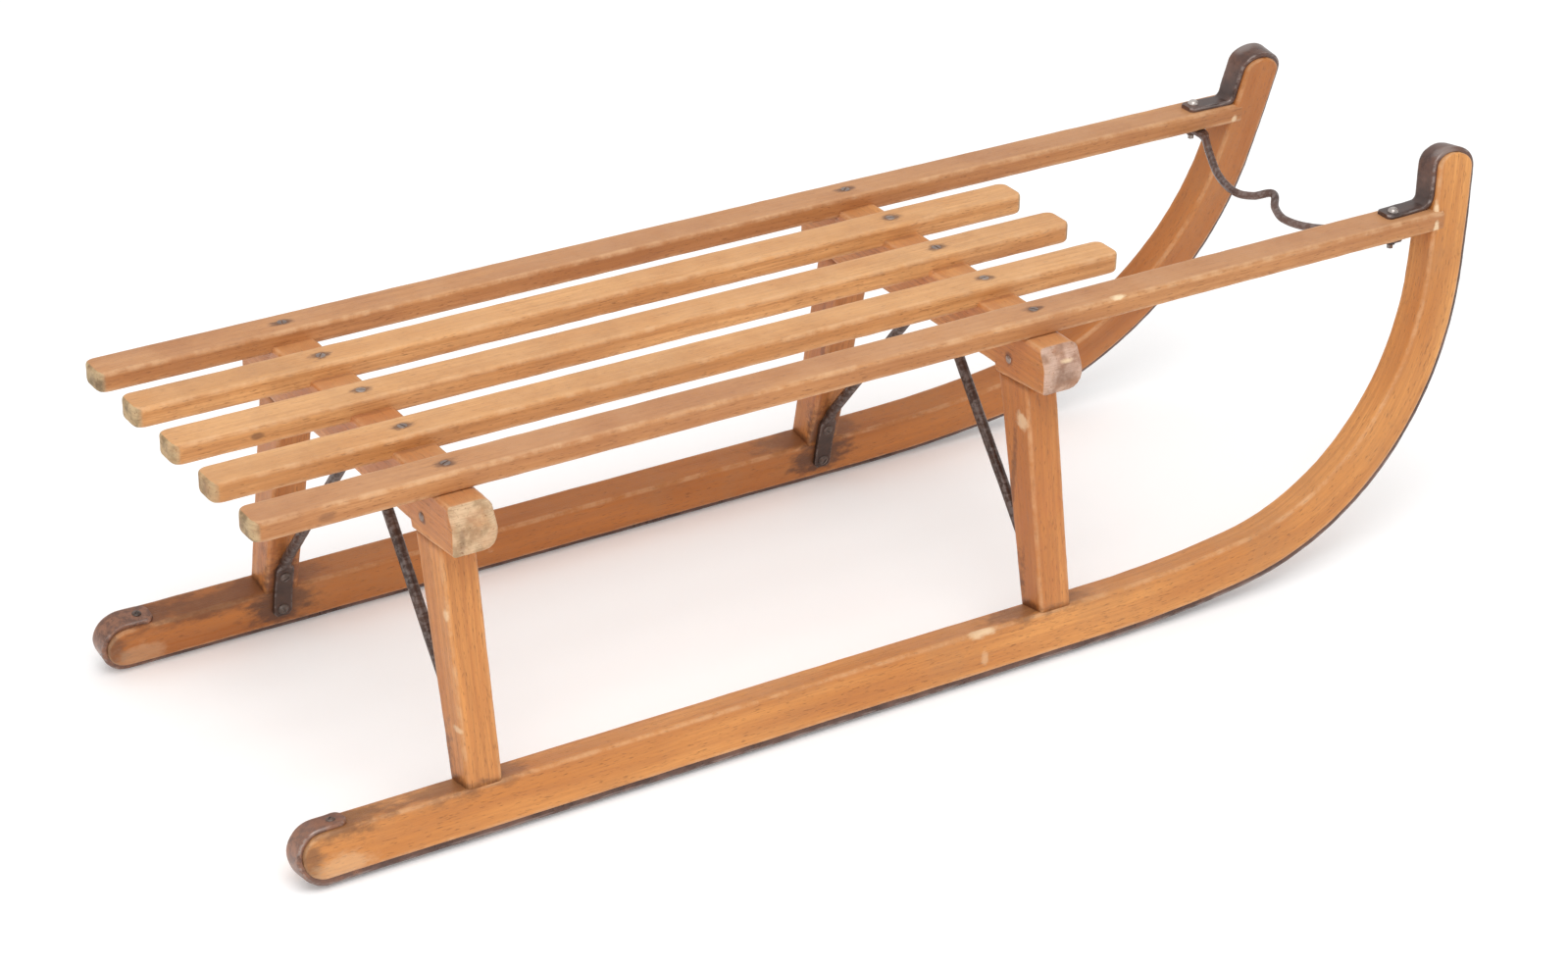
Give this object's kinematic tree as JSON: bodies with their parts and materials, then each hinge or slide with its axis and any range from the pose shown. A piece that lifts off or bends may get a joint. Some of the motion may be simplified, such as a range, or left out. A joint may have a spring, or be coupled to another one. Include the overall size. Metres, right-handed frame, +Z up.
{
  "type": "wooden toboggan",
  "caption": "Wooden slatted toboggan with bent runners on leaning trestles, iron-shod soles, rod braces and a bowed iron tow bar.",
  "frame": {"origin": "on the ground, under the middle of the sled's length and width", "axes": "+X forward to the horns, +Y to the sled's left, +Z up from the ground"},
  "size_m": [1.065, 0.366, 0.3206],
  "materials": {
    "slat_wood": "worn clear varnish over pale beech",
    "trestle_wood": "clear varnish, worn to bare wood on the ends",
    "runner_wood": "orange-brown varnish, scuffed along the edges",
    "sole_iron": "dark rust patina, polished over the horns",
    "forged_iron": "dark brown forged iron, satin",
    "fasteners": "dull grey steel with rust in the slots"
  },
  "bodies": {
    "root": {"beam_pins": "fasteners", "brace_screws": "fasteners", "crown_screws": "fasteners", "front_beam": "trestle_wood", "front_brace": "forged_iron", "horn_bolts": "fasteners", "horn_nuts": "fasteners", "leg_front_left": "trestle_wood", "leg_front_right": "trestle_wood", "leg_rear_left": "trestle_wood", "leg_rear_right": "trestle_wood", "rail_left": "slat_wood", "rail_right": "slat_wood", "rear_beam": "trestle_wood", "rear_brace": "forged_iron", "runner_left": "runner_wood", "runner_right": "runner_wood", "slat_left": "slat_wood", "slat_middle": "slat_wood", "slat_right": "slat_wood", "slat_screws_front": "fasteners", "slat_screws_rear": "fasteners", "sole_band_left": "sole_iron", "sole_band_right": "sole_iron", "sole_screws_left": "fasteners", "sole_screws_right": "fasteners", "tab_screws": "fasteners", "tow_bar": "forged_iron"}
  },
  "joints": []
}
